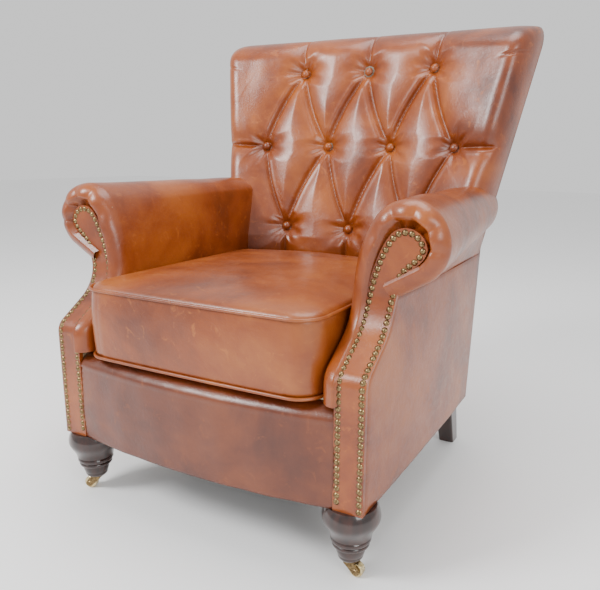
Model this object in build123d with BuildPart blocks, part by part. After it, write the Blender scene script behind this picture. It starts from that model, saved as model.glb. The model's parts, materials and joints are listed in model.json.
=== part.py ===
from build123d import *
import math
import os

# Upholstered roll-arm armchair with a button-tufted back, a loose seat cushion,
# turned front legs on brass casters and raked rear legs.  Millimetres, +Z up.
# The origin is on the floor, at the middle of the chair's width and depth.
# The front of the chair faces -Y.  "left" is -X, "right" is +X, seen from the front.

# ---- driving dimensions: outside shape ----
BASE_Z = 134.0  # underside of the upholstered base
DECK_Z = 312.0  # top of the sprung seat deck
FRONT_Y = -385.0  # flat front plane of the arm fronts
APRON_BOW = 25.0  # how far the front border bows forward
BASE_X = 333.0  # half width of the base
INNER_X = 255.0  # half distance between the arms
TOP_Z = 984.0  # top of the back
LEATHER = 2.5  # leather with its lining
PANEL = 8.0  # boards with leather drawn over them
CLEAR = 0.5  # gap round the loose cushion

# ---- arm front: an S seen from the side, set back at the roll ----
SWEEP_Z = 345.0
SWEEP_TURN = 55.0
SWEEP_LOW_R = 30.0
SWEEP_RUN = 59.0
SWEEP_HIGH_R = 91.0

# ---- arm roll, tapering to the rear ----
NECK_Z = 473.0  # underside of the roll, where it meets the outside panel
ROLL_Y = FRONT_Y + 95.0
ROLL_X = 350.0
ROLL_Z = 560.0
ROLL_R = 70.0
ROLL_TAPER = 0.0257  # radius lost for each millimetre to the rear
ROLL_DRIFT = 0.0772  # how fast the roll's centre comes inward

# ---- back ----
BEND_Z = 486.0  # the posts bend back and flare above this height
FLARE = 0.1745
REAR_Y = FRONT_Y + 600.0  # rear corner of the base at its underside
REAR_RAKE_LOW = 0.132
REAR_RAKE_HIGH = 0.27
REAR_BOW = 14.0  # outside back bows to the rear
PAD_Y = FRONT_Y + 577.0  # front of the inside back below the bend
PAD_RAKE = 0.27
SCOOP = 65.0  # sides of the inside back stand this far forward
SIDE_R = 40.0  # rounding where the inside back meets its sides
BUTTON_ROWS = ((510.0, (-170.0, 0.0, 170.0)),
               (712.0, (-255.0, -86.0, 86.0, 255.0)),
               (897.0, (-176.0, 0.0, 176.0)))
BUTTON_R = 10.5
BUTTON_H = 6.5
TUFT_DEPTH = 30.0

# ---- seat cushion ----
CUSHION_X = 248.0
CUSHION_FRONT = FRONT_Y - 14.0
CUSHION_REAR = FRONT_Y + 512.0
CUSHION_REAR_BOW = 42.0
CUSHION_FRONT_BOW = 4.0
CUSHION_CORNER = 48.0
CUSHION_Z = DECK_Z + CLEAR
BOXING_TOP = 446.0
CROWN_Z = 478.0
CROWN_SPHERE = 1500.0
PIPING_R = 3.0

# ---- frame ----
RAIL_T = 28.0
RAIL_H = 130.0
POST_IN = 283.0
POST_OUT = 325.0

# ---- feet ----
LEG_X = 297.0
LEG_Y = FRONT_Y + 36.0
LEG_FOOT_Z = 30.0
STUD_R = 4.0
WHEEL_R = 12.5
WHEEL_T = 13.0
TRAIL = 13.0
RUN_GAP = 0.05  # radial running clearance of axle and stem
STEM_R = 3.5
AXLE_R = 2.5
REAR_LEG_X = 287.0
SOCKET_R = 5.5
SOCKET_L = 32.0

SIDES = (("left", -1), ("right", 1))


def rear_y(z):
    """Outer face of the outside back at its side corners."""
    low = min(z, BEND_Z)
    return REAR_Y + REAR_RAKE_LOW * (low - BASE_Z) + REAR_RAKE_HIGH * (z - low)


def half_width(z):
    """Half width of the back at height z."""
    return BASE_X + FLARE * max(0.0, z - BEND_Z)


def pad_y(z):
    """Front of the inside back on the centre line."""
    return PAD_Y + PAD_RAKE * max(0.0, z - BEND_Z)


def sweep_y(z):
    """Front plane of the arm at height z: two arcs joined by a straight run."""
    turn = math.radians(SWEEP_TURN)
    z1 = SWEEP_Z + SWEEP_LOW_R * math.sin(turn)
    y1 = FRONT_Y + SWEEP_LOW_R * (1 - math.cos(turn))
    z2 = z1 + SWEEP_RUN * math.cos(turn)
    y2 = y1 + SWEEP_RUN * math.sin(turn)
    z3 = z2 + SWEEP_HIGH_R * math.sin(turn)
    if z <= SWEEP_Z:
        return FRONT_Y
    if z <= z1:
        angle = math.asin((z - SWEEP_Z) / SWEEP_LOW_R)
        return FRONT_Y + SWEEP_LOW_R * (1 - math.cos(angle))
    if z <= z2:
        return y1 + (z - z1) * math.tan(turn)
    angle = math.asin(max(0.0, z3 - z) / SWEEP_HIGH_R)
    return y2 + SWEEP_HIGH_R * (math.cos(angle) - math.cos(turn))


def slope_angle(z):
    """Angle in degrees by which the arm front leans back at height z."""
    step = 0.2
    rise = sweep_y(z + step) - sweep_y(z - step)
    return math.degrees(math.atan2(rise, 2 * step))


def polar(centre, radius, angle):
    """Point at an angle in degrees round a centre."""
    turn = math.radians(angle)
    return (centre[0] + radius * math.cos(turn), centre[1] + radius * math.sin(turn))


def cap_point(radius, height, x):
    """Point at distance x from the axis on a spherical cap of this radius and height."""
    sphere = (radius ** 2 + height ** 2) / (2 * height)
    return (x, height - sphere + math.sqrt(sphere ** 2 - x ** 2))


def save(part, label):
    """Label a finished piece and write it as its own file."""
    part.label = label
    export_step(part, f"parts/{label}.step")


def mirrored(source):
    """The same piece on the other side of the chair."""
    with BuildPart() as other:
        add(mirror(source, about=Plane.YZ))
    return other.part


# ---- shapes that several pieces share ----
def arm_side_view(inset, rear_gap, base_z, top_z):
    """Solid slab, seen from the side: S-shaped front, raked rear."""
    front = FRONT_Y + inset
    with BuildPart() as slab:
        with BuildSketch(Plane.YZ.offset(200)):
            with BuildLine():
                low = Line((front, base_z), (front, SWEEP_Z))
                toe = JernArc(low @ 1, low % 1, SWEEP_LOW_R, -SWEEP_TURN)
                run = Line(toe @ 1, (toe @ 1) + (toe % 1) * SWEEP_RUN)
                heel = JernArc(run @ 1, run % 1, SWEEP_HIGH_R, SWEEP_TURN)
                rise = Line(heel @ 1, ((heel @ 1).X, top_z))
                rear_top = rear_y(top_z) - rear_gap
                rear_bend = rear_y(BEND_Z) - rear_gap
                rear_base = rear_y(base_z) - rear_gap
                Polyline(rise @ 1, (rear_top, top_z), (rear_bend, BEND_Z),
                         (rear_base, base_z), low @ 0)
            make_face()
        extrude(amount=260)
    return slab.part


def roll_section(y, inset):
    """Arm cross-section at depth y: inside face, roll, underside and neck."""
    along = y - ROLL_Y
    centre = (ROLL_X - ROLL_DRIFT * along, ROLL_Z + ROLL_TAPER * along)
    radius = ROLL_R - ROLL_TAPER * along - inset
    start = polar(centre, radius, 150)
    under = polar(centre, radius, -50)
    inner = INNER_X + inset
    foot = DECK_Z
    neck = POST_OUT
    breast_z = 470.0
    with BuildSketch(Plane.XZ.offset(-y)) as section:
        with BuildLine():
            Line((inner, foot), (inner, breast_z))
            bulge = (inner + 0.26 * (start[0] - inner), breast_z + 0.62 * (start[1] - breast_z))
            ThreePointArc((inner, breast_z), bulge, start)
            ThreePointArc(start, polar(centre, radius, 50), under)
            Line(under, (neck, NECK_Z + inset))
            Line((neck, NECK_Z + inset), (neck, foot))
            Line((neck, foot), (inner, foot))
        make_face()
    return section.sketch


def arm_envelope(inset):
    """Outer form of the right arm, moved in by the inset."""
    with BuildPart() as form:
        add(roll_section(FRONT_Y - 5, inset))
        add(roll_section(FRONT_Y + 690, inset))
        loft()
        add(arm_side_view(inset, PANEL, DECK_Z, 660), mode=Mode.INTERSECT)
    return form.part


def back_section(z, inset, behind):
    """Plan of the back at height z, between its scooped front and bowed rear."""
    half = half_width(z) - inset
    front = pad_y(z) + inset
    rear = rear_y(z) - PANEL + behind
    with BuildSketch(Plane.XY.offset(z)) as section:
        with BuildLine():
            ThreePointArc((-half, front - SCOOP), (0, front), (half, front - SCOOP))
            Line((half, front - SCOOP), (half, rear))
            ThreePointArc((half, rear), (0, rear + REAR_BOW), (-half, rear))
            Line((-half, rear), (-half, front - SCOOP))
        make_face()
        fillet(section.vertices().group_by(Axis.Y)[0], SIDE_R - inset)
    return section.sketch


def button_planes():
    """A plane at the foot of every tuft, facing out of the inside back."""
    lean = math.atan(PAD_RAKE)
    planes = []
    for z, columns in BUTTON_ROWS:
        for x in columns:
            scoop = SCOOP * (x / half_width(z)) ** 2
            y = pad_y(z) - scoop + TUFT_DEPTH
            side = 2 * SCOOP * x / half_width(z) ** 2
            facing = Vector(-side, -math.cos(lean), math.sin(lean))
            planes.append(Plane(origin=(x, y, z), x_dir=(1, 0, 0) if x == 0 else None,
                                z_dir=facing))
    return planes


def tufts():
    """The pockets that the buttons draw into the inside back."""
    with BuildPart() as pockets:
        with Locations(*button_planes()):
            Cone(BUTTON_R + 1.5, BUTTON_R + 22, TUFT_DEPTH + 40,
                 align=(Align.CENTER, Align.CENTER, Align.MIN))
    return pockets.part


def back_envelope(inset, behind=0.0):
    """Outer form of the inside back, moved in by the inset, with its rear face moved behind."""
    with BuildPart() as form:
        for z in (DECK_Z, BEND_Z, TOP_Z - inset):
            add(back_section(z, inset, behind))
        loft(ruled=True)
    return form.part


# ---- wooden frame ----
def arm_post():
    """Front post of the right arm, sawn to follow the arm front."""
    depth = 50.0
    with BuildPart() as post:
        with BuildSketch(Plane.YZ.offset(POST_IN)):
            with BuildLine():
                toe_z = SWEEP_Z + 24
                face = [(FRONT_Y + PANEL + 1, BASE_Z), (FRONT_Y + PANEL + 1, SWEEP_Z)]
                face += [(sweep_y(z) + PANEL + 4, z) for z in (toe_z, 404, 440, NECK_Z, 585)]
                back = [(y + depth, z) for y, z in face]
                Polyline(*face, *reversed(back), close=True)
            make_face()
        extrude(amount=POST_OUT - POST_IN)
        with Locations((LEG_X, LEG_Y, BASE_Z)):
            Cylinder(STUD_R, 40, align=(Align.CENTER, Align.CENTER, Align.MIN),
                     mode=Mode.SUBTRACT)
    return post.part


def back_post():
    """Right back post: bent to the rake and flared outward above the arm."""
    with BuildPart() as post:
        for z, x, y in ((BASE_Z, 304, REAR_Y - 33), (BEND_Z, 304, REAR_Y + 13), (940, 385, REAR_Y + 133)):
            with BuildSketch(Plane.XY.offset(z)):
                with Locations((x, y)):
                    Rectangle(POST_OUT - POST_IN, 44)
        loft(ruled=True)
    return post.part


def board(x0, x1, y0, y1, z0, z1):
    """Square-cut board between two corners."""
    with BuildPart() as plank:
        with Locations(((x0 + x1) / 2, (y0 + y1) / 2, (z0 + z1) / 2)):
            Box(abs(x1 - x0), abs(y1 - y0), abs(z1 - z0))
    return plank.part


def bowed_rail(half, y_side, bow, depth, z0, z1):
    """Cross rail sawn to a curve in plan, bowed to the rear."""
    with BuildPart() as rail:
        with BuildSketch(Plane.XY.offset(z0)):
            with BuildLine():
                ThreePointArc((-half, y_side), (0, y_side + bow), (half, y_side))
                Line((half, y_side), (half, y_side + depth))
                ThreePointArc((half, y_side + depth), (0, y_side + bow + depth),
                              (-half, y_side + depth))
                Line((-half, y_side + depth), (-half, y_side))
            make_face()
        extrude(amount=z1 - z0)
    return rail.part


def without(source, *cutters):
    """A piece with its neighbours' shapes cut out of it."""
    with BuildPart() as cut:
        add(source)
        for cutter in cutters:
            add(cutter, mode=Mode.SUBTRACT)
    return cut.part


right_arm_post = arm_post()
left_arm_post = mirrored(right_arm_post)
right_back_post = back_post()
left_back_post = mirrored(right_back_post)
posts = (right_arm_post, left_arm_post, right_back_post, left_back_post)

rail_top = BASE_Z + RAIL_H
front_rail = board(-POST_IN, POST_IN, FRONT_Y + 26, FRONT_Y + 26 + RAIL_T, BASE_Z, rail_top)
rear_rail = board(-POST_IN, POST_IN, REAR_Y - 50, REAR_Y - 50 + RAIL_T, BASE_Z, rail_top)
right_side_rail = without(board(POST_OUT - RAIL_T, POST_OUT, FRONT_Y + 59, REAR_Y - 42, BASE_Z, rail_top),
                          right_arm_post, right_back_post)
right_tack_rail = without(board(POST_OUT - RAIL_T, POST_OUT, FRONT_Y + 50, REAR_Y - 8, 330, 372),
                          right_arm_post, right_back_post)
right_top_rail = without(board(298, 322, FRONT_Y + 150, REAR_Y + 35, 535, 580),
                         right_arm_post, right_back_post)
back_top_rail = without(bowed_rail(375, REAR_Y + 98, 34, 26, 898, 938), *posts)
back_tack_rail = without(bowed_rail(300, REAR_Y - 8, 20, 26, 398, 440), *posts)


def corner_block():
    """Triangular glue block inside the right front corner of the base."""
    size = 62.0
    x = POST_OUT - RAIL_T
    y = FRONT_Y + 26 + RAIL_T
    with BuildPart() as block:
        with BuildSketch(Plane.XY.offset(BASE_Z + 30)):
            with BuildLine():
                Polyline((x, y), (x - size, y), (x, y + size), close=True)
            make_face()
        extrude(amount=60)
    return block.part


def frame_screw():
    """Wood screw lying along +Z, its head at the origin."""
    with BuildPart() as screw:
        with BuildSketch(Plane.XZ):
            with BuildLine():
                Polyline((0, 0), (4.5, 0), (2, 3), (2, 42), (0, 46), close=True)
            make_face()
        revolve(axis=Axis.Z)
    return screw.part


# Blocks in all four corners, and one screw through each into either rail.
block = without(corner_block(), right_arm_post)
rear_shift = (REAR_Y - 50) - (FRONT_Y + 26 + RAIL_T)
with BuildPart() as corner_blocks:
    for mark in (1, -1):
        front_block = block if mark > 0 else mirror(block, about=Plane.YZ)
        mid_y = FRONT_Y + 26 + RAIL_T + rear_shift / 2
        add(front_block)
        add(mirror(front_block, about=Plane.XZ.offset(-mid_y)))

screw_shape = frame_screw()
inside_front = FRONT_Y + 26 + RAIL_T
inside_rear = REAR_Y - 50
with BuildPart() as frame_screws:
    for mark in (1, -1):
        for y, way in ((inside_front, -1), (inside_rear, 1)):
            into_cross_rail = Plane(origin=(mark * 272, y - way * 36, BASE_Z + 75),
                                    z_dir=(0, way, 0))
            into_side_rail = Plane(origin=(mark * 261, y - way * 24, BASE_Z + 45),
                                   z_dir=(mark, 0, 0))
            with Locations(into_cross_rail, into_side_rail):
                add(screw_shape)

# ---- springs, webbing and deck ----
SPRING_X = (-208.0, -104.0, 0.0, 104.0, 208.0)
SPRING_Z = rail_top + 3.0
WIRE_R = 1.9
LOOP_R = 9.0
LOOP_BAR = 34.0
LOOPS = 13
SPRING_START = FRONT_Y + 40.0
SPRING_END = REAR_Y - 36.0


def seat_spring():
    """One sinuous spring: straight bars joined by half-round loops, flat on the seat."""
    pitch = (SPRING_END - SPRING_START) / (2 * LOOPS)
    radius = pitch / 2
    half = LOOP_BAR / 2
    with BuildPart() as spring:
        with BuildLine() as path:
            for turn in range(2 * LOOPS):
                y = SPRING_START + turn * pitch
                way = 1 if turn % 2 else -1
                Line((-way * half, y), (way * half, y))
                ThreePointArc((way * half, y), (way * (half + radius), y + radius),
                              (way * half, y + pitch))
            Line((half, SPRING_END), (-half, SPRING_END))
        with BuildSketch(Plane(origin=path.wire() @ 0, z_dir=path.wire() % 0)):
            Circle(WIRE_R)
        sweep()
    return spring.part


one_spring = seat_spring()
with BuildPart() as seat_springs:
    with Locations(*[(x, 0, SPRING_Z) for x in SPRING_X]):
        add(one_spring)

with BuildPart() as spring_clips:
    for y in (SPRING_START, SPRING_END):
        with Locations(*[(x, y, rail_top) for x in SPRING_X]):
            Box(18, 8, 3 + WIRE_R + 1.2, align=(Align.CENTER, Align.CENTER, Align.MIN))
    add(seat_springs.part, mode=Mode.SUBTRACT)

STRAP_T = 1.5
STRAP_GAP = 4.0
strap_low = Vector(0, REAR_Y + 6, 419)
strap_high = Vector(0, REAR_Y + 132, 918)
with BuildPart() as back_webbing:
    for x in (-200, -100, 0, 100, 200):
        foot = strap_low + Vector(x, -20 * (x / 300) ** 2 - STRAP_GAP, 0)
        head = strap_high + Vector(x, -34 * (x / 375) ** 2 - STRAP_GAP, 0)
        run = head - foot
        with Locations(Plane(origin=(foot + head) / 2, x_dir=(1, 0, 0), z_dir=run)):
            Box(48, STRAP_T, run.length)

# ---- outside panels ----
def side_panel():
    """Right outside arm: a padded board, flat inside and slightly full outside."""
    front = FRONT_Y
    rear = rear_y(NECK_Z)
    middle = (front + rear) / 2
    with BuildPart() as panel:
        with BuildSketch(Plane.XY.offset(BASE_Z)):
            with BuildLine():
                Line((POST_OUT, front), (BASE_X, front))
                ThreePointArc((BASE_X, front), (BASE_X + 6, middle), (BASE_X, rear))
                Line((BASE_X, rear), (POST_OUT, rear))
                Line((POST_OUT, rear), (POST_OUT, front))
            make_face()
        extrude(amount=NECK_Z - BASE_Z)
        add(arm_side_view(PANEL, PANEL, BASE_Z, 660), mode=Mode.INTERSECT)
    return panel.part


def panel_section(z, inner):
    """Plan of the outside back board at height z."""
    half = half_width(z)
    rear = rear_y(z)
    with BuildSketch(Plane.XY.offset(z)) as section:
        with BuildLine():
            ThreePointArc((-half, rear), (0, rear + REAR_BOW), (half, rear))
            Line((half, rear), (half, rear - inner))
            ThreePointArc((half, rear - inner), (0, rear - inner + REAR_BOW), (-half, rear - inner))
            Line((-half, rear - inner), (-half, rear))
        make_face()
    return section.sketch


def outside_back():
    """Board across the whole rear of the chair, bent at the arm tops."""
    with BuildPart() as panel:
        for z in (BASE_Z, BEND_Z, TOP_Z):
            add(panel_section(z, PANEL))
        loft(ruled=True)
    return panel.part


right_side_panel = side_panel()
outside_back_panel = outside_back()


# ---- arm fronts ----
NAIL_IN = 7.0
NAIL_R = 5.3
NAIL_H = 3.0
NAIL_PITCH = 11.4
NAIL_SHANK_R = 0.9
NAIL_STAND = 0.2  # heads stand just off the leather, which is curved under them


def facing_outline(inset):
    """Front view of the right arm facing: a straight strip that opens into a small scroll."""
    with BuildSketch(Plane.XZ) as outline:
        with BuildLine():
            inner = Line((279, BASE_Z), (279, 410))
            breast = Spline(inner @ 1, (284, 470), (304, 540), (326, 577),
                            tangents=((0, 1), (1, 1.1)))
            top = ThreePointArc(breast @ 1, (356, 585), (385, 553))
            under = Spline(top @ 1, (352, 512), (336, 468), (BASE_X, 410),
                           tangents=((-0.2, -1), (0, -1)))
            outer = Line(under @ 1, (BASE_X, BASE_Z))
            Line(outer @ 1, inner @ 0)
        make_face()
        if inset:
            offset(amount=-inset, mode=Mode.REPLACE)
    return outline.sketch


def facing_board():
    """Right arm facing, bent along the S of the arm front."""
    with BuildPart() as facing:
        extrude(facing_outline(0), amount=450, dir=(0, -1, 0))
        add(arm_side_view(0, PANEL, BASE_Z, 660), mode=Mode.INTERSECT)
        add(arm_side_view(PANEL, 0, BASE_Z - 1, 661), mode=Mode.SUBTRACT)
    return facing.part


def nail_places():
    """Planes for one row of nails that runs up, round the scroll and down again."""
    edges = facing_outline(NAIL_IN).edges().sort_by(Axis.Z)[1:]
    row = Wire.combine(edges)[0]
    samples = 900
    places = []
    travelled = 0.0
    last = None
    for index in range(samples + 1):
        flat = row @ (index / samples)
        if flat.Z < BASE_Z + NAIL_IN + 1:
            continue
        spot = Vector(flat.X, sweep_y(flat.Z), flat.Z)
        travelled += (spot - last).length if last else NAIL_PITCH
        last = spot
        if travelled >= NAIL_PITCH:
            travelled -= NAIL_PITCH
            lean = math.radians(slope_angle(flat.Z))
            facing = Vector(0, -math.cos(lean), math.sin(lean))
            places.append(Plane(origin=spot + facing * NAIL_STAND, x_dir=(1, 0, 0), z_dir=facing))
    return places


def nail():
    """Domed upholstery nail, its shank along -Z."""
    with BuildPart() as pin:
        with BuildSketch(Plane.XZ):
            with BuildLine():
                Polyline((0, NAIL_H), (0, -4), (NAIL_SHANK_R, -3), (NAIL_SHANK_R, 0), (NAIL_R, 0))
                ThreePointArc((NAIL_R, 0), cap_point(NAIL_R, NAIL_H, 3), (0, NAIL_H))
            make_face()
        revolve(axis=Axis.Z)
    return pin.part


nail_shape = nail()
right_nail_places = nail_places()
with BuildPart() as right_nails:
    with Locations(*right_nail_places):
        add(nail_shape)
with BuildPart() as nail_holes:
    with Locations(*right_nail_places):
        Cylinder(NAIL_SHANK_R, 6, align=(Align.CENTER, Align.CENTER, Align.MAX))
right_facing_blank = facing_board()
right_facing = without(right_facing_blank, nail_holes.part)

# ---- arms: pad and leather over the frame ----
arm_outer = arm_envelope(0)
arm_inner = arm_envelope(LEATHER)
arm_hardware = (right_side_panel, outside_back_panel, right_arm_post, right_back_post,
                right_tack_rail, right_top_rail, back_tack_rail)
right_arm_pad = without(arm_inner, right_facing_blank, *arm_hardware)
right_arm_cover = without(arm_outer, arm_inner, right_facing_blank, *arm_hardware)

# ---- inside back ----
back_outer = back_envelope(0)
back_inner = back_envelope(LEATHER)
back_hollow = back_envelope(LEATHER, 6.0)
left_arm_outer = mirrored(arm_outer)
left_side_panel = mirrored(right_side_panel)
back_hardware = (outside_back_panel, right_side_panel, left_side_panel, arm_outer, left_arm_outer, right_back_post, left_back_post,
                 back_top_rail, back_tack_rail, back_webbing.part)


def tuft_button():
    """Leather-covered button with a short shank behind it."""
    with BuildPart() as button:
        with BuildSketch(Plane.XZ):
            with BuildLine():
                Polyline((0, BUTTON_H), (0, -2), (2, -2), (2, 0), (BUTTON_R, 0))
                ThreePointArc((BUTTON_R, 0), cap_point(BUTTON_R, BUTTON_H, 6), (0, BUTTON_H))
            make_face()
        revolve(axis=Axis.Z)
    return button.part


button_shape = tuft_button()
with BuildPart() as back_buttons:
    with Locations(*button_planes()):
        add(button_shape)
pockets = tufts()
back_pad = without(back_inner, *back_hardware, pockets, back_buttons.part)
back_cover = without(back_outer, back_hollow, *back_hardware, pockets)


# ---- front border ----
def border_plan(inset):
    """Plan of the front border, bowed forward."""
    half = 279.0
    rear = FRONT_Y + 26
    front = FRONT_Y + 1 + inset
    with BuildSketch(Plane.XY.offset(BASE_Z)) as plan:
        with BuildLine():
            ThreePointArc((-half, front), (0, front - APRON_BOW - 1), (half, front))
            Polyline((half, front), (half, rear), (-half, rear), (-half, front))
        make_face()
    return plan.sketch


def border(inset):
    """Front border with a bullnose lip along its top."""
    with BuildPart() as form:
        add(border_plan(inset))
        extrude(amount=DECK_Z - inset - BASE_Z)
        top = form.faces().sort_by(Axis.Z)[-1]
        fillet(top.edges().sort_by(Axis.Y)[0], 24)
    return form.part


right_arm_cutters = (arm_outer, right_arm_post, right_facing_blank)
left_arm_cutters = [mirrored(piece) for piece in right_arm_cutters]
border_outer = border(0)
border_inner = border(LEATHER)
apron_pad = without(border_inner, *right_arm_cutters, *left_arm_cutters, front_rail)
apron_cover = without(border_outer, border_inner, *right_arm_cutters, *left_arm_cutters, front_rail)

deck_top = DECK_Z
deck_low = SPRING_Z + WIRE_R + 1.4
seat_deck = without(board(-INNER_X, INNER_X, FRONT_Y + 26, REAR_Y + 10, deck_low, deck_top),
                    back_outer, *posts, back_tack_rail)


# ---- loose seat cushion ----
def cushion_plan(z, grow):
    """Plan of the cushion at height z, grown outward on all sides."""
    half = CUSHION_X + grow
    front = CUSHION_FRONT - grow
    rear = CUSHION_REAR + grow
    with BuildSketch(Plane.XY.offset(z)) as plan:
        with BuildLine():
            ThreePointArc((-half, front), (0, front - CUSHION_FRONT_BOW), (half, front))
            Line((half, front), (half, rear))
            ThreePointArc((half, rear), (0, rear + CUSHION_REAR_BOW), (-half, rear))
            Line((-half, rear), (-half, front))
        make_face()
        fillet(plan.vertices().group_by(Axis.Y)[0], CUSHION_CORNER + grow)
        fillet(plan.vertices().group_by(Axis.Y)[-1], 16 + grow)
    return plan.sketch


def cushion_form(inset):
    """Boxed cushion with a crowned top."""
    centre_y = (CUSHION_FRONT + CUSHION_REAR) / 2 + 10
    with BuildPart() as form:
        add(cushion_plan(CUSHION_Z + inset, -inset))
        extrude(amount=CROWN_Z - CUSHION_Z - inset)
        with Locations((0, centre_y, CROWN_Z - CROWN_SPHERE)):
            Sphere(CROWN_SPHERE - inset, mode=Mode.INTERSECT)
    return form.part


def piping(z):
    """Round piping along a seam of the cushion."""
    path = cushion_plan(z, 0).face().outer_wire()
    with BuildPart() as cord:
        with BuildSketch(Plane(origin=path @ 0, z_dir=path % 0)):
            Circle(PIPING_R)
        sweep(path=path)
    return cord.part


piping_top = piping(BOXING_TOP)
piping_bottom = piping(CUSHION_Z + PIPING_R + 1)
cushion_outer = cushion_form(0)
cushion_inner = cushion_form(LEATHER)
cushion_foam = without(cushion_inner, piping_top, piping_bottom)
cushion_cover = without(cushion_outer, cushion_inner, piping_top, piping_bottom)


def zip_strip():
    """Zip along the rear boxing of the cushion, with its slider."""
    chord = 190.0
    depth = 2.0
    rear = CUSHION_REAR + CUSHION_REAR_BOW
    drop = 26.0
    with BuildPart() as tape:
        with BuildSketch(Plane.XY.offset(372)):
            with BuildLine():
                ThreePointArc((-chord, rear - drop), (0, rear), (chord, rear - drop))
                Line((chord, rear - drop), (chord, rear - drop + depth))
                ThreePointArc((chord, rear - drop + depth), (0, rear + depth),
                              (-chord, rear - drop + depth))
                Line((-chord, rear - drop + depth), (-chord, rear - drop))
            make_face()
        extrude(amount=14)
        with Locations((150, rear - 13, 379)):
            Box(9, 7, 7)
        add(cushion_outer, mode=Mode.SUBTRACT)
    return tape.part


cushion_zip = zip_strip()


# ---- feet ----
def front_leg():
    """Turned front leg: bun, two beads and a tapering ankle, bored for the caster."""
    with BuildPart() as leg:
        with BuildSketch(Plane.XZ):
            with BuildLine():
                Polyline((0, BASE_Z), (0, LEG_FOOT_Z), (14, LEG_FOOT_Z))
                ThreePointArc((14, LEG_FOOT_Z), (20, 33), (22.5, 40))
                ThreePointArc((22.5, 40), (25.5, 49), (26, 56))
                Line((26, 56), (29, 57))
                ThreePointArc((29, 57), (32.5, 61), (30.5, 65))
                ThreePointArc((30.5, 65), (35, 69.5), (33.5, 75))
                Line((33.5, 75), (36, 77))
                Spline((36, 77), (41.5, 92), (49.5, 108), (48, 124), (43, BASE_Z))
                Line((43, BASE_Z), (0, BASE_Z))
            make_face()
        revolve(axis=Axis.Z)
        with Locations((0, 0, BASE_Z)):
            Cylinder(STUD_R, 30, align=(Align.CENTER, Align.CENTER, Align.MAX),
                     mode=Mode.SUBTRACT)
        with Locations((0, 0, LEG_FOOT_Z)):
            Cylinder(SOCKET_R, SOCKET_L, align=(Align.CENTER, Align.CENTER, Align.MIN),
                     mode=Mode.SUBTRACT)
    return leg.part


def caster_socket():
    """Brass socket pressed up the leg, with the plate that the horn turns under."""
    with BuildPart() as socket:
        with BuildSketch(Plane.XZ):
            with BuildLine():
                bore = STEM_R + RUN_GAP
                Polyline((bore, 28), (14, 28), (14, LEG_FOOT_Z), (SOCKET_R, LEG_FOOT_Z),
                         (SOCKET_R, 62), (0, 62), (0, 58), (bore, 58), close=True)
            make_face()
        revolve(axis=Axis.Z)
    return socket.part


def caster_horn():
    """Stem and two cheeks that trail the wheel to +X."""
    cheek_t = 2.4
    gap = WHEEL_T + 1.6
    with BuildPart() as horn:
        with Locations((0, 0, 25.5)):
            Cylinder(STEM_R, 31, align=(Align.CENTER, Align.CENTER, Align.MIN))
            Cylinder(10.5, 2.2, align=(Align.CENTER, Align.CENTER, Align.MIN))
        with BuildSketch(Plane.XZ.offset(-gap / 2 - cheek_t)):
            with BuildLine():
                Polyline((TRAIL - 6, WHEEL_R - 4), (-9, 23), (-9, 27.5), (10, 27.5),
                         (TRAIL + 6, WHEEL_R + 4))
                ThreePointArc((TRAIL + 6, WHEEL_R + 4), (TRAIL + 4, WHEEL_R - 7),
                              (TRAIL - 6, WHEEL_R - 4))
            make_face()
        extrude(amount=gap + 2 * cheek_t)
        with BuildSketch(Plane.XZ.offset(-gap / 2)):
            with Locations((TRAIL, WHEEL_R)):
                Circle(WHEEL_R + 1.0)
        extrude(amount=gap, mode=Mode.SUBTRACT)
        with Locations((TRAIL, 0, 4)):
            Box(60, gap, 43, align=(Align.CENTER, Align.CENTER, Align.CENTER), mode=Mode.SUBTRACT)
        with Locations((0, 0, 25.5)):
            Cylinder(10.5, 2.2, align=(Align.CENTER, Align.CENTER, Align.MIN))
        with Locations(Plane(origin=(TRAIL, 0, WHEEL_R), z_dir=(0, 1, 0))):
            Cylinder(AXLE_R, 60, mode=Mode.SUBTRACT)
    return horn.part


def caster_axle():
    """Riveted axle across the horn."""
    with BuildPart() as axle:
        with Locations(Plane(origin=(TRAIL, 0, WHEEL_R), z_dir=(0, 1, 0))):
            Cylinder(AXLE_R, WHEEL_T + 1.6 + 2 * 2.4)
        for way in (-1, 1):
            head_y = way * (WHEEL_T / 2 + 0.8 + 2.4)
            with Locations(Plane(origin=(TRAIL, head_y, WHEEL_R), z_dir=(0, way, 0))):
                Cone(4, 2.6, 1.5, align=(Align.CENTER, Align.CENTER, Align.MIN))
    return axle.part


def caster_wheel():
    """Solid brass wheel with rounded edges and a plain bore."""
    with BuildPart() as wheel:
        with Locations(Plane(origin=(TRAIL, 0, WHEEL_R), z_dir=(0, 1, 0))):
            Cylinder(WHEEL_R, WHEEL_T)
        rims = wheel.edges().filter_by(GeomType.CIRCLE)
        fillet(rims, 1.6)
        with Locations(Plane(origin=(TRAIL, 0, WHEEL_R), z_dir=(0, 1, 0))):
            Cylinder(AXLE_R + RUN_GAP, 60, mode=Mode.SUBTRACT)
    return wheel.part


def rear_leg():
    """Right rear leg: tapered block raked to the rear."""
    with BuildPart() as leg:
        with BuildSketch(Plane.XY.offset(BASE_Z)):
            with Locations((REAR_LEG_X, REAR_Y - 26)):
                RectangleRounded(44, 50, 5)
        with BuildSketch(Plane.XY):
            with Locations((REAR_LEG_X, REAR_Y + 27)):
                RectangleRounded(36, 40, 5)
        loft()
        with Locations((REAR_LEG_X + 17, REAR_Y - 30, BASE_Z)):
            Cylinder(STUD_R, 40, align=(Align.CENTER, Align.CENTER, Align.CENTER),
                     mode=Mode.SUBTRACT)
    return leg.part


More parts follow.
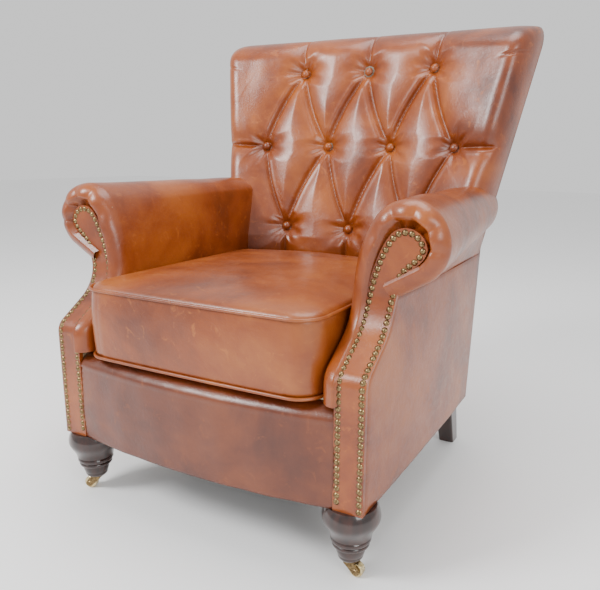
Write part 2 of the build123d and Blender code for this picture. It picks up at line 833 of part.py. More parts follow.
def stud(x, y, low, high):
    """Hanger bolt between a leg and the frame."""
    with BuildPart() as bolt:
        with Locations((x, y, low)):
            Cylinder(STUD_R, high - low, align=(Align.CENTER, Align.CENTER, Align.MIN))
    return bolt.part


leg_shape = front_leg()
caster_shapes = {"socket": caster_socket(), "horn": caster_horn(), "axle": caster_axle(),
                 "wheel": caster_wheel()}
right_rear_leg = rear_leg()
with BuildPart() as leg_studs:
    for mark in (-1, 1):
        add(stud(mark * LEG_X, LEG_Y, BASE_Z - 30, BASE_Z + 40))
        add(stud(mark * (REAR_LEG_X + 17), REAR_Y - 30, BASE_Z - 20, BASE_Z + 40))

with BuildPart() as dust_cover:
    add(board(-POST_IN, POST_IN, FRONT_Y + 26, REAR_Y - 22, BASE_Z - 1.2, BASE_Z))
    for mark in (-1, 1):
        with Locations((mark * LEG_X, LEG_Y, BASE_Z)):
            Cylinder(52, 10, mode=Mode.SUBTRACT)
        with Locations((mark * REAR_LEG_X, REAR_Y - 26, BASE_Z)):
            Box(60, 70, 10, mode=Mode.SUBTRACT)

# ---- write every piece ----
os.makedirs("parts", exist_ok=True)

rear_stud = leg_studs.part
right_back_post_bored = without(right_back_post, rear_stud)
save(without(front_rail, frame_screws.part), "front_rail")
save(without(rear_rail, frame_screws.part), "rear_rail")
save(back_top_rail, "back_top_rail")
save(back_tack_rail, "back_tack_rail")
save(without(corner_blocks.part, frame_screws.part), "corner_blocks")
save(frame_screws.part, "frame_screws")
save(seat_springs.part, "seat_springs")
save(spring_clips.part, "spring_clips")
save(seat_deck, "seat_deck_pad")
save(back_webbing.part, "back_webbing")
save(back_pad, "back_pad")
save(back_cover, "back_inside_cover")
save(outside_back_panel, "back_outside_panel")
save(back_buttons.part, "back_buttons")
save(apron_pad, "apron_pad")
save(apron_cover, "apron_cover")
save(cushion_foam, "seat_cushion_foam")
save(cushion_cover, "seat_cushion_cover")
save(piping_top, "cushion_piping_top")
save(piping_bottom, "cushion_piping_bottom")
save(cushion_zip, "cushion_zip")
save(leg_studs.part, "leg_studs")
save(dust_cover.part, "dust_cover")

right_pieces = {
    "side_rail": without(right_side_rail, frame_screws.part),
    "arm_post": right_arm_post,
    "arm_top_rail": right_top_rail,
    "arm_tack_rail": right_tack_rail,
    "back_post": right_back_post_bored,
    "arm_pad": right_arm_pad,
    "arm_cover": right_arm_cover,
    "arm_outside_panel": right_side_panel,
    "arm_facing": right_facing,
    "facing_nails": right_nails.part,
    "rear_leg": right_rear_leg,
}
for name, piece in right_pieces.items():
    save(piece, name + "_right")
    save(mirrored(piece), name + "_left")

# The left caster trails outward and forward, the right one outward.
for side, mark in SIDES:
    foot = Location((mark * LEG_X, LEG_Y, 0))
    turned = Location((mark * LEG_X, LEG_Y, 0), (0, 0, 0 if mark > 0 else 200))
    with BuildPart() as placed_leg:
        with Locations(foot):
            add(leg_shape)
    save(placed_leg.part, "front_leg_" + side)
    for name, shape in caster_shapes.items():
        with BuildPart() as placed:
            with Locations(turned):
                add(shape)
        save(placed.part, f"caster_{name}_{side}")
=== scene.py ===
"""Upholstered roll-arm armchair: leather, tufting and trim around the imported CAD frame."""
import json
import math

import bpy
from mathutils import Euler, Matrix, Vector, noise


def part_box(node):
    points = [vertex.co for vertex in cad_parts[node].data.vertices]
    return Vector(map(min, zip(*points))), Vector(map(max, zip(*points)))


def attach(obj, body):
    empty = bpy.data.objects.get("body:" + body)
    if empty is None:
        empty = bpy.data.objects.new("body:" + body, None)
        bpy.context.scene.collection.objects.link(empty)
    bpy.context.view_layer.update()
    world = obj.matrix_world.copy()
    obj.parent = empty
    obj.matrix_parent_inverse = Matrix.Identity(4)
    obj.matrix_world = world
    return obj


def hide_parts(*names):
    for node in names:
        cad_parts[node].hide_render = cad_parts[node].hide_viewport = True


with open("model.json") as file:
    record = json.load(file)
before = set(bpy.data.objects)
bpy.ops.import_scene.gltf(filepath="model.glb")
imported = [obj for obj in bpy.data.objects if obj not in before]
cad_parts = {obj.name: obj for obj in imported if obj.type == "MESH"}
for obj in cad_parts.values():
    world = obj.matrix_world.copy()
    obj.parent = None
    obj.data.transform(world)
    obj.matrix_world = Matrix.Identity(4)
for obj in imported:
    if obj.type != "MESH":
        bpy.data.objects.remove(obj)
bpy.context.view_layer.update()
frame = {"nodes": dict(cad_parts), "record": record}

# ---- shape values, in metres, that follow the CAD pieces ----
PANEL_LOW, PANEL_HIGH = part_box("arm_outside_panel_right")
_, BACK_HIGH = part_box("back_outside_panel")
FACING_LOW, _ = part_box("arm_facing_right")
CUSHION_LOW, CUSHION_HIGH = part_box("seat_cushion_cover")
_, APRON_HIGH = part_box("apron_cover")

FRONT_Y = FACING_LOW[1]
BASE_Z = PANEL_LOW[2]
DECK_Z = APRON_HIGH[2]
TOP_Z = BACK_HIGH[2]
BASE_X = 0.333
INNER_X = 0.255
POST_X = 0.325
NECK_Z = PANEL_HIGH[2]
REAR_Y = FRONT_Y + 0.600
PANEL = 0.008
BEND_Z = 0.486
FLARE = 0.1745
PAD_Y = FRONT_Y + 0.577
PAD_RAKE = 0.27
SCOOP = 0.065
REAR_BOW = 0.014
CROWN = 0.006
CORNER_IN = 0.022
CORNER_H = 0.05
ROLL_X, ROLL_Z, ROLL_R = 0.350, 0.560, 0.070
ROLL_X_TAPER, ROLL_R_TAPER = 0.0772, 0.0257
BUTTON_ROWS = ((0.510, (-0.170, 0.0, 0.170)),
               (0.712, (-0.255, -0.086, 0.086, 0.255)),
               (0.897, (-0.176, 0.0, 0.176)))


def clamp(value, low=0.0, high=1.0):
    return max(low, min(high, value))


def smooth(value):
    t = clamp(value)
    return t * t * (3 - 2 * t)


def rear_y(z):
    """Outer face of the outside back at its side corners."""
    low = min(z, BEND_Z)
    return REAR_Y + 0.132 * (low - 0.134) + 0.27 * (z - low)


def half_width(z):
    return BASE_X + FLARE * max(0.0, z - BEND_Z)


def corner_in(z):
    """How far the side of the back turns inward as its top corner rounds."""
    corner = clamp((z - (TOP_Z - CORNER_H)) / CORNER_H)
    return CORNER_IN * (1 - math.sqrt(1 - min(0.999, corner) ** 2))


def pad_y(z):
    return PAD_Y + PAD_RAKE * max(0.0, z - BEND_Z)


def sweep_y(z):
    """Front plane of the arm at height z: two arcs joined by a straight run."""
    turn = math.radians(55)
    low_r, run, high_r, start = 0.030, 0.059, 0.091, 0.345
    z1 = start + low_r * math.sin(turn)
    y1 = FRONT_Y + low_r * (1 - math.cos(turn))
    z2 = z1 + run * math.cos(turn)
    y2 = y1 + run * math.sin(turn)
    z3 = z2 + high_r * math.sin(turn)
    if z <= start:
        return FRONT_Y
    if z <= z1:
        return FRONT_Y + low_r * (1 - math.cos(math.asin((z - start) / low_r)))
    if z <= z2:
        return y1 + (z - z1) * math.tan(turn)
    angle = math.asin(max(0.0, z3 - z) / high_r)
    return y2 + high_r * (math.cos(angle) - math.cos(turn))


# ---- materials ----
def new_material(name):
    material = bpy.data.materials.new(name)
    material.use_nodes = True
    nodes = material.node_tree.nodes
    return material, nodes, material.node_tree.links, nodes["Principled BSDF"]


def noise_node(nodes, links, coords, scale, detail, rough=0.5, distortion=0.0):
    node = nodes.new("ShaderNodeTexNoise")
    node.inputs["Scale"].default_value = scale
    node.inputs["Detail"].default_value = detail
    node.inputs["Roughness"].default_value = rough
    node.inputs["Distortion"].default_value = distortion
    links.new(coords.outputs["Object"], node.inputs["Vector"])
    return node


def ramp_node(nodes, links, source, stops):
    node = nodes.new("ShaderNodeValToRGB")
    ramp = node.color_ramp
    while len(ramp.elements) < len(stops):
        ramp.elements.new(0.5)
    for element, (place, colour) in zip(ramp.elements, stops):
        element.position = place
        element.color = (*colour, 1)
    links.new(source, node.inputs["Fac"])
    return node


def leather(name, dark, mid, light, roughness=0.33, grain=0.10):
    """Glossy waxed leather: cloudy colour, rubbed scuffs, pebbled grain and fine creases."""
    material, nodes, links, shader = new_material(name)
    coords = nodes.new("ShaderNodeTexCoord")
    cloud = noise_node(nodes, links, coords, 5.5, 6, 0.6, 0.4)
    colour = ramp_node(nodes, links, cloud.outputs["Fac"],
                       ((0.30, dark), (0.50, mid), (0.72, light)))
    scuff = noise_node(nodes, links, coords, 38, 8, 0.7, 1.2)
    worn = ramp_node(nodes, links, scuff.outputs["Fac"],
                     ((0.58, (0, 0, 0)), (0.74, (0.6, 0.6, 0.6))))
    mix = nodes.new("ShaderNodeMix")
    mix.data_type = "RGBA"
    links.new(worn.outputs["Color"], mix.inputs[0])
    links.new(colour.outputs["Color"], mix.inputs[6])
    mix.inputs[7].default_value = (light[0] * 1.35, light[1] * 1.5, light[2] * 1.9, 1)
    links.new(mix.outputs[2], shader.inputs["Base Color"])
    rough = ramp_node(nodes, links, scuff.outputs["Fac"],
                      ((0.3, (roughness * 0.85,) * 3), (0.75, (roughness * 1.35,) * 3)))
    links.new(rough.outputs["Color"], shader.inputs["Roughness"])
    shader.inputs["Specular IOR Level"].default_value = 0.55
    shader.inputs["Coat Weight"].default_value = 0.25
    shader.inputs["Coat Roughness"].default_value = 0.22
    pebbles = nodes.new("ShaderNodeTexVoronoi")
    pebbles.inputs["Scale"].default_value = 420
    links.new(coords.outputs["Object"], pebbles.inputs["Vector"])
    crease = noise_node(nodes, links, coords, 60, 6, 0.65, 2.0)
    fine = nodes.new("ShaderNodeBump")
    fine.inputs["Strength"].default_value = grain
    fine.inputs["Distance"].default_value = 0.0006
    links.new(pebbles.outputs["Distance"], fine.inputs["Height"])
    broad = nodes.new("ShaderNodeBump")
    broad.inputs["Strength"].default_value = 0.32
    broad.inputs["Distance"].default_value = 0.0016
    links.new(crease.outputs["Fac"], broad.inputs["Height"])
    links.new(fine.outputs["Normal"], broad.inputs["Normal"])
    links.new(broad.outputs["Normal"], shader.inputs["Normal"])
    return material


def wood(name, dark, light, roughness):
    """Stained wood with stretched grain under lacquer."""
    material, nodes, links, shader = new_material(name)
    coords = nodes.new("ShaderNodeTexCoord")
    stretch = nodes.new("ShaderNodeMapping")
    stretch.inputs["Scale"].default_value = (60, 60, 5)
    links.new(coords.outputs["Object"], stretch.inputs["Vector"])
    grain = nodes.new("ShaderNodeTexNoise")
    grain.inputs["Scale"].default_value = 2.0
    grain.inputs["Detail"].default_value = 8
    links.new(stretch.outputs["Vector"], grain.inputs["Vector"])
    colour = ramp_node(nodes, links, grain.outputs["Fac"], ((0.35, dark), (0.7, light)))
    links.new(colour.outputs["Color"], shader.inputs["Base Color"])
    shader.inputs["Roughness"].default_value = roughness
    shader.inputs["Coat Weight"].default_value = 0.5
    shader.inputs["Coat Roughness"].default_value = 0.12
    bump = nodes.new("ShaderNodeBump")
    bump.inputs["Strength"].default_value = 0.08
    bump.inputs["Distance"].default_value = 0.0006
    links.new(grain.outputs["Fac"], bump.inputs["Height"])
    links.new(bump.outputs["Normal"], shader.inputs["Normal"])
    return material


def metal(name, dark, light, roughness, scale=160):
    """Cast or rolled metal with patches of tarnish."""
    material, nodes, links, shader = new_material(name)
    coords = nodes.new("ShaderNodeTexCoord")
    patch = noise_node(nodes, links, coords, scale, 4)
    colour = ramp_node(nodes, links, patch.outputs["Fac"], ((0.35, dark), (0.65, light)))
    links.new(colour.outputs["Color"], shader.inputs["Base Color"])
    shader.inputs["Metallic"].default_value = 1.0
    shade = ramp_node(nodes, links, patch.outputs["Fac"],
                      ((0.3, (roughness * 1.4,) * 3), (0.7, (roughness,) * 3)))
    links.new(shade.outputs["Color"], shader.inputs["Roughness"])
    return material


def cloth(name, dark, light, scale=900):
    """Woven or felted fabric, matt."""
    material, nodes, links, shader = new_material(name)
    coords = nodes.new("ShaderNodeTexCoord")
    weave = noise_node(nodes, links, coords, scale, 3)
    colour = ramp_node(nodes, links, weave.outputs["Fac"], ((0.35, dark), (0.65, light)))
    links.new(colour.outputs["Color"], shader.inputs["Base Color"])
    shader.inputs["Roughness"].default_value = 0.92
    bump = nodes.new("ShaderNodeBump")
    bump.inputs["Strength"].default_value = 0.3
    bump.inputs["Distance"].default_value = 0.0005
    links.new(weave.outputs["Fac"], bump.inputs["Height"])
    links.new(bump.outputs["Normal"], shader.inputs["Normal"])
    return material


TAN = leather("tan_leather", (0.085, 0.012, 0.0008), (0.225, 0.042, 0.0025), (0.37, 0.092, 0.008))
SEAT = leather("seat_leather", (0.11, 0.017, 0.0012), (0.24, 0.048, 0.0035), (0.36, 0.10, 0.012),
               0.34)
# Darker copy of the tan leather: painted shade for the front border under the cushion, not a different
# leather.
PAINTED_SHADE_LEATHER = leather("border_leather_painted_shade", (0.050, 0.007, 0.0006), (0.115, 0.019, 0.0012),
                (0.20, 0.042, 0.004))
DARK_WOOD = wood("mahogany", (0.012, 0.004, 0.003), (0.045, 0.014, 0.009), 0.22)
RAW_WOOD = wood("raw_hardwood", (0.42, 0.27, 0.14), (0.66, 0.48, 0.30), 0.6)
OLD_BRASS = metal("antique_brass", (0.09, 0.055, 0.025), (0.36, 0.25, 0.12), 0.30, 420)
BRIGHT_BRASS = metal("bright_brass", (0.50, 0.38, 0.18), (0.85, 0.72, 0.44), 0.22)
STEEL = metal("plain_steel", (0.30, 0.30, 0.31), (0.55, 0.55, 0.56), 0.35)
FOAM = cloth("foam", (0.70, 0.64, 0.46), (0.86, 0.80, 0.62), 300)
STRAP = cloth("webbing", (0.12, 0.10, 0.08), (0.30, 0.27, 0.22))
BLACK_CLOTH = cloth("bottoming_cloth", (0.010, 0.010, 0.010), (0.03, 0.03, 0.03))
SLOT_MATERIALS = {"leather": TAN, "padding": FOAM, "dark_wood": DARK_WOOD, "frame_wood": RAW_WOOD,
                  "antique_brass": OLD_BRASS, "bright_brass": BRIGHT_BRASS, "steel": STEEL,
                  "webbing": STRAP, "dust_cloth": BLACK_CLOTH, "zip": BLACK_CLOTH}


def dress_nodes():
    """Give every CAD node the procedural material of its slot."""
    slots = {row["node"]: row["material_slot"] for row in frame["record"]["subparts"]}
    for name, node in frame["nodes"].items():
        node.data.materials.clear()
        node.data.materials.append(SLOT_MATERIALS[slots[name]])
        if slots[name] in ("dark_wood", "antique_brass", "bright_brass", "leather"):
            for face in node.data.polygons:
                face.use_smooth = True
            node.data.set_sharp_from_angle(angle=math.radians(35))


# ---- mesh helpers ----
def add_mesh(name, points, faces, material, body="chair_frame"):
    mesh = bpy.data.meshes.new(name)
    mesh.from_pydata(points, [], faces)
    mesh.validate()
    mesh.materials.append(material)
    for face in mesh.polygons:
        face.use_smooth = True
    piece = bpy.data.objects.new(name, mesh)
    bpy.context.scene.collection.objects.link(piece)
    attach(piece, body)
    return piece


def grid_faces(rows, columns, closed=False):
    """Quads over a grid of points; closed joins the last column to the first."""
    faces = []
    wrap = columns if closed else columns - 1
    for row in range(rows - 1):
        for column in range(wrap):
            after = (column + 1) % columns
            a = row * columns + column
            b = row * columns + after
            faces.append((a, b, b + columns, a + columns))
    return faces


def thicken(piece, thickness):
    """Turn an open skin into a leather sheet."""
    shell = piece.modifiers.new("thickness", "SOLIDIFY")
    shell.thickness = thickness
    shell.offset = -1


# ---- tufted inside back ----
def pleat_lines():
    """Folds between buttons, and from the outer buttons to the edges of the back."""
    low, middle, high = BUTTON_ROWS
    lines = []
    for x in low[1]:
        for other in middle[1]:
            if abs(other - x) < 0.12:
                lines.append(((x, low[0]), (other, middle[0]), 0.010))
        lines.append(((x, low[0]), (x * 0.97, 0.33), 0.0))
    for x in high[1]:
        for other in middle[1]:
            if abs(other - x) < 0.12:
                lines.append(((x, high[0]), (other, middle[0]), -0.010))
        lines.append(((x, high[0]), (x * 1.10, 1.02), 0.0))
    for mark in (-1, 1):
        lines.append(((mark * 0.255, middle[0]), (mark * 0.42, middle[0] + 0.004), 0.0))
    return lines


PLEATS = pleat_lines()
BUTTONS = [(x, z) for z, columns in BUTTON_ROWS for x in columns]


def line_distance(x, z, line):
    """Signed distance from a fold, and how far along it the nearest point lies."""
    (ax, az), (bx, bz), bend = line
    dx, dz = bx - ax, bz - az
    length = math.hypot(dx, dz)
    along = ((x - ax) * dx + (z - az) * dz) / length ** 2
    side = ((x - ax) * dz - (z - az) * dx) / length
    if 0 < along < 1:
        side += bend * math.sin(math.pi * along)
        return side, along
    over = (max(-along, along - 1, 0)) * length
    return math.copysign(math.hypot(side, over), side or 1), clamp(along)


def tuft_depth(x, z):
    """How far the leather is drawn in at a point of the inside back."""
    drawn = 0.0
    for line in PLEATS:
        side, along = line_distance(x, z, line)
        gap = abs(side)
        if gap < 0.11:
            soft = 0.0215 * math.exp(-gap / 0.026)
            fold = 0.0055 * math.exp(-(gap / 0.0045) ** 1.3)
            lip = -0.0030 * math.exp(-((side - 0.009) / 0.006) ** 2)
            drawn = max(drawn, soft + fold + lip)
    for bx, bz in BUTTONS:
        gap = math.hypot(x - bx, z - bz)
        if gap < 0.15:
            angle = math.atan2(z - bz, x - bx)
            gather = 0.0016 * math.sin(9 * angle + 7 * bx) * math.exp(-((gap - 0.035) / 0.020) ** 2)
            pit = 0.0340 * math.exp(-(max(0.0, gap - 0.009) / 0.030) ** 1.15)
            drawn = max(drawn, pit + gather)
    return drawn


def edge_round(gap, radius, power=2.2):
    t = clamp(1 - gap / radius)
    return (1 - t ** power) ** (1 / power)


def back_point(u, v):
    """Point of the inside back: u across from -1 to 1, v up from 0 to 1."""
    z0 = DECK_Z + 0.004
    bow = CROWN * (1 - u * u)
    z = z0 + v * (TOP_Z - 0.002 + bow - z0)
    half = half_width(z) - 0.0005 - corner_in(z)
    x = u * half
    rear = rear_y(z) - PANEL + REAR_BOW * (1 - u * u)
    front = pad_y(z) - SCOOP * u * u + 0.004
    top = edge_round(TOP_Z + bow - z, 0.060)
    side = edge_round(half - abs(x), 0.058)
    drawn = tuft_depth(x, z) * smooth((half - abs(x)) / 0.03)
    flat = noise.noise(Vector((x * 9, z * 9, 3))) * 0.0022
    flat += noise.noise(Vector((x * 30, z * 22, 9))) * 0.0006
    depth = (rear - front - drawn + flat) * top * side
    fold = clamp(1 - abs(z - (0.915 + 0.16 * (abs(x) - 0.38))) / 0.006)
    fold *= smooth((abs(u) - 0.82) / 0.1)
    return (x, rear - max(0.0, depth - 0.005 * fold * (1 if u > 0 else 0.4)), z)


def spread(t, ends):
    """Even steps that grow denser toward both ends."""
    return (1 - ends) * t + ends * math.sin(t * math.pi / 2)


def tufted_back():
    columns, rows = ((300, 260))
    points = []
    for row in range(rows):
        v = row / (rows - 1)
        v = v * (1 - 0.25) + 0.25 * math.sin(v * math.pi / 2)
        for column in range(columns):
            u = spread(2 * column / (columns - 1) - 1, 0.75)
            points.append(back_point(u, v))
    piece = add_mesh("tufted_back", points, grid_faces(rows, columns), TAN)
    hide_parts("back_inside_cover", "back_pad")
    return piece


# ---- arms ----
def arm_outline(y, steps):
    """Cross-section of the right arm at depth y, from the seat round the roll to the neck."""
    along = y - (FRONT_Y + 0.095)
    cx = ROLL_X - ROLL_X_TAPER * along
    cz = ROLL_Z + ROLL_R_TAPER * along
    radius = ROLL_R - ROLL_R_TAPER * along
    start = (cx + radius * math.cos(math.radians(150)), cz + radius * math.sin(math.radians(150)))
    knee = 0.455
    points = []
    for index in range(steps):
        t = index / (steps - 1)
        points.append((INNER_X, DECK_Z + 0.002 + t * (knee - DECK_Z)))
    for index in range(1, steps + 1):
        t = index / steps
        pull = (INNER_X, knee + 0.62 * (start[1] - knee))
        x = (1 - t) ** 2 * INNER_X + 2 * t * (1 - t) * pull[0] + t * t * start[0]
        z = (1 - t) ** 2 * knee + 2 * t * (1 - t) * pull[1] + t * t * start[1]
        points.append((x, z))
    turns = steps * 3
    for index in range(1, turns + 1):
        angle = math.radians(150 - 205 * index / turns)
        points.append((cx + radius * math.cos(angle), cz + radius * math.sin(angle)))
    last = points[-1]
    for index in range(1, steps // 2 + 1):
        t = index / (steps // 2)
        points.append((last[0] + t * (POST_X + 0.006 - last[0]),
                       last[1] + t * (NECK_Z - 0.004 - last[1])))
    return points


def outline_normals(points):
    normals = []
    for index, (x, z) in enumerate(points):
        ax, az = points[max(0, index - 1)]
        bx, bz = points[min(len(points) - 1, index + 1)]
        dx, dz = bx - ax, bz - az
        size = math.hypot(dx, dz) or 1
        normals.append((dz / size, -dx / size))
    return normals


def arm_cover(name, mark):
    """Leather over one arm: inside face, tapered roll and the band that rounds to the facing."""
    steps = 22
    band = 0.027
    bulge = 0.010
    stations = 60
    turns = 10
    sample = arm_outline(FRONT_Y, steps)
    columns = len(sample)
    points = [(mark * 0.300, rear_y(z0) - PANEL - 0.001, min(z0, 0.545)) for x0, z0 in sample]
    for station in range(stations):
        t = station / (stations - 1)
        t = 1 - (1 - t) ** 1.25
        for column in range(columns):
            x0, z0 = sample[column]
            near = sweep_y(z0) - bulge + band
            far = rear_y(z0) - PANEL - 0.001
            y = far + t * (near - far)
            x, z = arm_outline(y, steps)[column]
            wrinkle = noise.noise(Vector((x * 16 + mark, y * 9, z * 16))) * 0.0022
            points.append((mark * x, y, z + wrinkle * smooth((z0 - 0.36) / 0.1)))
    for turn in range(1, turns + 3):
        angle = min(turn, turns) / turns * math.pi / 2
        tuck, beyond = ((0.0, 0.0), (0.0185, 0.006), (0.0187, 0.028))[max(0, turn - turns)]
        front_line = arm_outline(FRONT_Y + 0.095, steps)
        normals = outline_normals(front_line)
        for column in range(columns):
            x0, z0 = sample[column]
            x, z = arm_outline(sweep_y(z0), steps)[column]
            nx, nz = normals[column]
            pleat = (0.6 - abs(math.sin(column / columns * math.pi * 9))) * 0.0050 * math.sin(angle)
            pleat *= smooth((z0 - 0.52) / 0.03)
            inward = band * (1 - math.cos(angle)) + beyond
            y = sweep_y(z0) - bulge + band * (1 - math.sin(angle)) + tuck + pleat
            points.append((mark * (x + nx * inward), y, z + nz * inward))
    rows = stations + turns + 3
    piece = add_mesh(name, points, grid_faces(rows, columns), TAN)
    side = "right" if mark > 0 else "left"
    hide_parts("arm_cover_" + side, "arm_pad_" + side)
    return piece


# ---- outside panels and front border ----
def side_panel(name, mark):
    """Outside arm: leather drawn over its board, slightly full in the middle."""
    columns, rows = 60, 40
    points = []
    for row in range(rows):
        t = row / (rows - 1)
        z = BASE_Z + t * (NECK_Z - BASE_Z)
        for column in range(columns):
            s = column / (columns - 1)
            front = sweep_y(z) + 0.001
            rear = rear_y(z) - 0.001
            y = front + s * (rear - front)
            full = 0.008 * math.sin(math.pi * s) * (0.35 + 0.65 * math.sin(math.pi * t) ** 0.7)
            edge = 0.004 * (1 - edge_round(min(s, 1 - s) * (rear - front), 0.008))
            ripple = noise.noise(Vector((y * 7, z * 9, mark * 4))) * 0.0012
            points.append((mark * (BASE_X + full - edge + ripple * math.sin(math.pi * s)), y, z))
    piece = add_mesh(name, points, grid_faces(rows, columns), TAN)
    thicken(piece, 0.004 * mark)
    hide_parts("arm_outside_panel_" + ("right" if mark > 0 else "left"))
    return piece


def outside_back():
    """Outside back: one leather panel, bowed and slightly full, with turned edges."""
    columns, rows = 70, 90
    points = []
    for row in range(rows):
        t = row / (rows - 1)
        for column in range(columns):
            u = 2 * column / (columns - 1) - 1
            crown = CROWN * (1 - u * u)
            z = BASE_Z + t * (TOP_Z - 0.002 + crown - BASE_Z)
            half = half_width(z) - corner_in(z)
            round_side = edge_round((1 - abs(u)) * half, 0.010)
            round_top = edge_round(TOP_Z + crown - z, 0.010)
            y = rear_y(z) - 0.008 + 0.008 * min(round_side, round_top) + REAR_BOW * (1 - u * u)
            y += noise.noise(Vector((u * 4, z * 6, 2))) * 0.0015 * round_side
            points.append((u * half, y, z))
    piece = add_mesh("outside_back_cover", points, grid_faces(rows, columns), TAN)
    thicken(piece, -0.004)
    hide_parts("back_outside_panel")


def front_border():
    """Front border: bowed leather with a bullnose under the cushion, in a darker copy of the tan
    leather as painted shade.
    """
    columns, rows = 90, 44
    half = 0.281
    lip = 0.030
    points = []
    for row in range(rows):
        t = row / (rows - 1)
        for column in range(columns):
            u = 2 * column / (columns - 1) - 1
            front = FRONT_Y - 0.0245 * (1 - u * u)
            wall = 0.80
            if t < wall:
                z = BASE_Z + t / wall * (DECK_Z - lip - BASE_Z)
                y = front + 0.002 * (1 - math.sin(math.pi * clamp(t / wall * 0.9 + 0.05)))
            else:
                angle = (t - wall) / (1 - wall) * math.pi / 2
                z = DECK_Z - lip + lip * math.sin(angle)
                y = front + (lip + 0.03) * (1 - math.cos(angle))
            y += noise.noise(Vector((u * 6, z * 14, 5))) * 0.0014
            points.append((u * half, y, z))
    # The border takes the darker leather copy: painted shade.
    piece = add_mesh("front_border", points, grid_faces(rows, columns), PAINTED_SHADE_LEATHER)
    thicken(piece, 0.003)
    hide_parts("apron_cover", "apron_pad")


# ---- loose seat cushion ----
def cushion_outline(steps):
    """Plan of the cushion: bowed front with round corners, curved rear."""
    half = CUSHION_HIGH[0] - 0.001
    front = CUSHION_LOW[1] + 0.004
    rear = CUSHION_HIGH[1] - 0.042
    corner, back_corner = 0.048, 0.020
    points = []
    for index in range(steps):
        x = -half + corner + index / steps * 2 * (half - corner)
        points.append((x, front - 0.004 * (1 - (x / half) ** 2)))
    for index in range(steps // 2):
        angle = -math.pi / 2 + index / (steps // 2) * math.pi / 2
        points.append((half - corner + corner * math.cos(angle),
                       front + corner + corner * math.sin(angle)))
    for index in range(steps):
        points.append((half,
                       front + corner + index / steps * (rear - back_corner - front - corner)))
    for index in range(steps // 3):
        angle = index / (steps // 3) * math.pi / 2
        points.append((half - back_corner + back_corner * math.cos(angle),
                       rear - back_corner + back_corner * math.sin(angle)))
    for index in range(steps):
        x = (half - back_corner) * (1 - 2 * index / steps)
        points.append((x, rear + 0.041 * (1 - (x / (half - back_corner)) ** 2)))
    for index in range(steps // 3):
        angle = math.pi / 2 + index / (steps // 3) * math.pi / 2
        points.append((-half + back_corner + back_corner * math.cos(angle),
                       rear - back_corner + back_corner * math.sin(angle)))
    for index in range(steps):
        points.append((-half, rear - back_corner
                       + index / steps * (front + corner - rear + back_corner)))
    for index in range(steps // 2):
        angle = math.pi + index / (steps // 2) * math.pi / 2
        points.append((-half + corner + corner * math.cos(angle),
                       front + corner + corner * math.sin(angle)))
    return points


def seat_cushion():
    """Boxed cushion: crowned top with dents and creases, boxing that bellies between pipings."""
    outline = cushion_outline(44)
    columns = len(outline)
    middle = (0.0, (CUSHION_LOW[1] + CUSHION_HIGH[1]) / 2)
    low, high = CUSHION_LOW[2] + 0.004, 0.446
    crown = CUSHION_HIGH[2] - high
    points = []
    rings = 0
    for index in range(12, 0, -1):
        shrink = index / 12
        for x, y in outline:
            points.append((x * (1 - shrink), middle[1] + (y - middle[1]) * (1 - shrink),
                           CUSHION_LOW[2] + 0.0015))
        rings += 1
    wall = 14
    for index in range(wall + 1):
        t = index / wall
        belly = 0.0045 * math.sin(math.pi * t) - 0.0015
        for x, y in outline:
            away = math.hypot(x, y - middle[1])
            crease = noise.noise(Vector((x * 22, y * 22, t * 2.5))) * 0.0016 * math.sin(math.pi * t)
            grow = 1 + (belly + crease) / away
            z = low + t * (high - low)
            points.append((clamp(x * grow, -0.2535, 0.2535), middle[1] + (y - middle[1]) * grow, z))
        rings += 1
    caps = 40
    for index in range(1, caps + 1):
        t = index / caps
        rise = (1 - (1 - t) ** 2.6) ** (1 / 1.9)
        for x, y in outline:
            px = x * (1 - t)
            py = middle[1] + (y - middle[1]) * (1 - t)
            dent = noise.noise(Vector((px * 5, py * 5, 1))) * 0.0040
            dent += noise.noise(Vector((px * 17, py * 17, 4))) * 0.0011
            points.append((px, py, high + (crown - 0.004) * rise + dent * smooth(t * 3)))
        rings += 1
    piece = add_mesh("seat_cushion", points, grid_faces(rings, columns, closed=True), SEAT,
                     "seat_cushion")
    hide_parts("seat_cushion_cover", "seat_cushion_foam")


# ---- build ----
dress_nodes()
for node_name in ("cushion_piping_top", "cushion_piping_bottom"):
    frame["nodes"][node_name].data.materials[0] = SEAT
tufted_back()
for label, sign in (("arm_leather_left", -1), ("arm_leather_right", 1)):
    arm_cover(label, sign)
for label, sign in (("outside_arm_left", -1), ("outside_arm_right", 1)):
    side_panel(label, sign)
outside_back()
front_border()
seat_cushion()


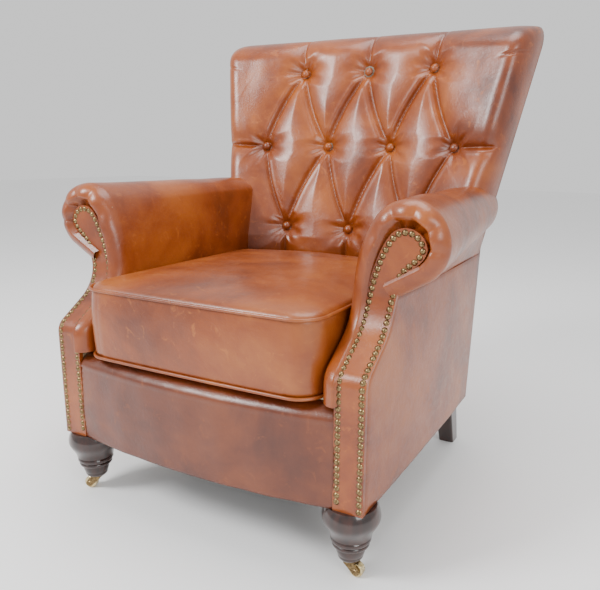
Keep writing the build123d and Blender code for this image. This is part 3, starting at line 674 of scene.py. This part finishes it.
# ---- floor, light and camera ----
def studio():
    floor_mesh = bpy.data.meshes.new("floor")
    size = 12.0
    floor_mesh.from_pydata([(-size, -size, 0), (size, -size, 0), (size, size, 0), (-size, size, 0)],
                           [], [(0, 1, 2, 3)])
    material, _, _, shader = new_material("pale_floor")
    shader.inputs["Base Color"].default_value = (0.93, 0.93, 0.93, 1)
    shader.inputs["Roughness"].default_value = 0.8
    floor_mesh.materials.append(material)
    floor = bpy.data.objects.new("floor", floor_mesh)
    bpy.context.scene.collection.objects.link(floor)
    world = bpy.data.worlds.new("studio")
    bpy.context.scene.world = world
    world.use_nodes = True
    background = world.node_tree.nodes["Background"]
    background.inputs["Color"].default_value = (1, 1, 1, 1)
    background.inputs["Strength"].default_value = 0.95
    lamps = (("key", (-1.6, -2.2, 2.6), 1.0, 105), ("fill", (2.6, -1.8, 1.8), 1.2, 40),
             ("top", (0.2, 0.2, 3.0), 1.6, 45))
    for name, place, width, power in lamps:
        light = bpy.data.lights.new(name, "AREA")
        light.size = width
        light.energy = power
        lamp = bpy.data.objects.new(name, light)
        lamp.location = place
        lamp.rotation_euler = (Vector((0, 0, 0.5)) - Vector(place)).to_track_quat("-Z", "Y").to_euler()
        bpy.context.scene.collection.objects.link(lamp)


def camera():
    """Camera in front of the chair, to its right, a little above the arms."""
    data = bpy.data.cameras.new("camera")
    data.sensor_width = 36
    data.lens = 37.87
    data.shift_x = -0.0527
    data.shift_y = 0.013
    eye = bpy.data.objects.new("camera", data)
    azimuth, pitch, roll = math.radians(27.155), math.radians(13.426), math.radians(0.852)
    forward = Vector((-math.sin(azimuth) * math.cos(pitch), math.cos(azimuth) * math.cos(pitch),
                      -math.sin(pitch)))
    turn = forward.to_track_quat("-Z", "Y").to_matrix() @ Euler((0, 0, roll)).to_matrix()
    eye.matrix_world = turn.to_4x4()
    eye.location = (0.6929, -0.8197 + FRONT_Y, 0.6983)
    bpy.context.scene.collection.objects.link(eye)
    bpy.context.scene.camera = eye


studio()
camera()
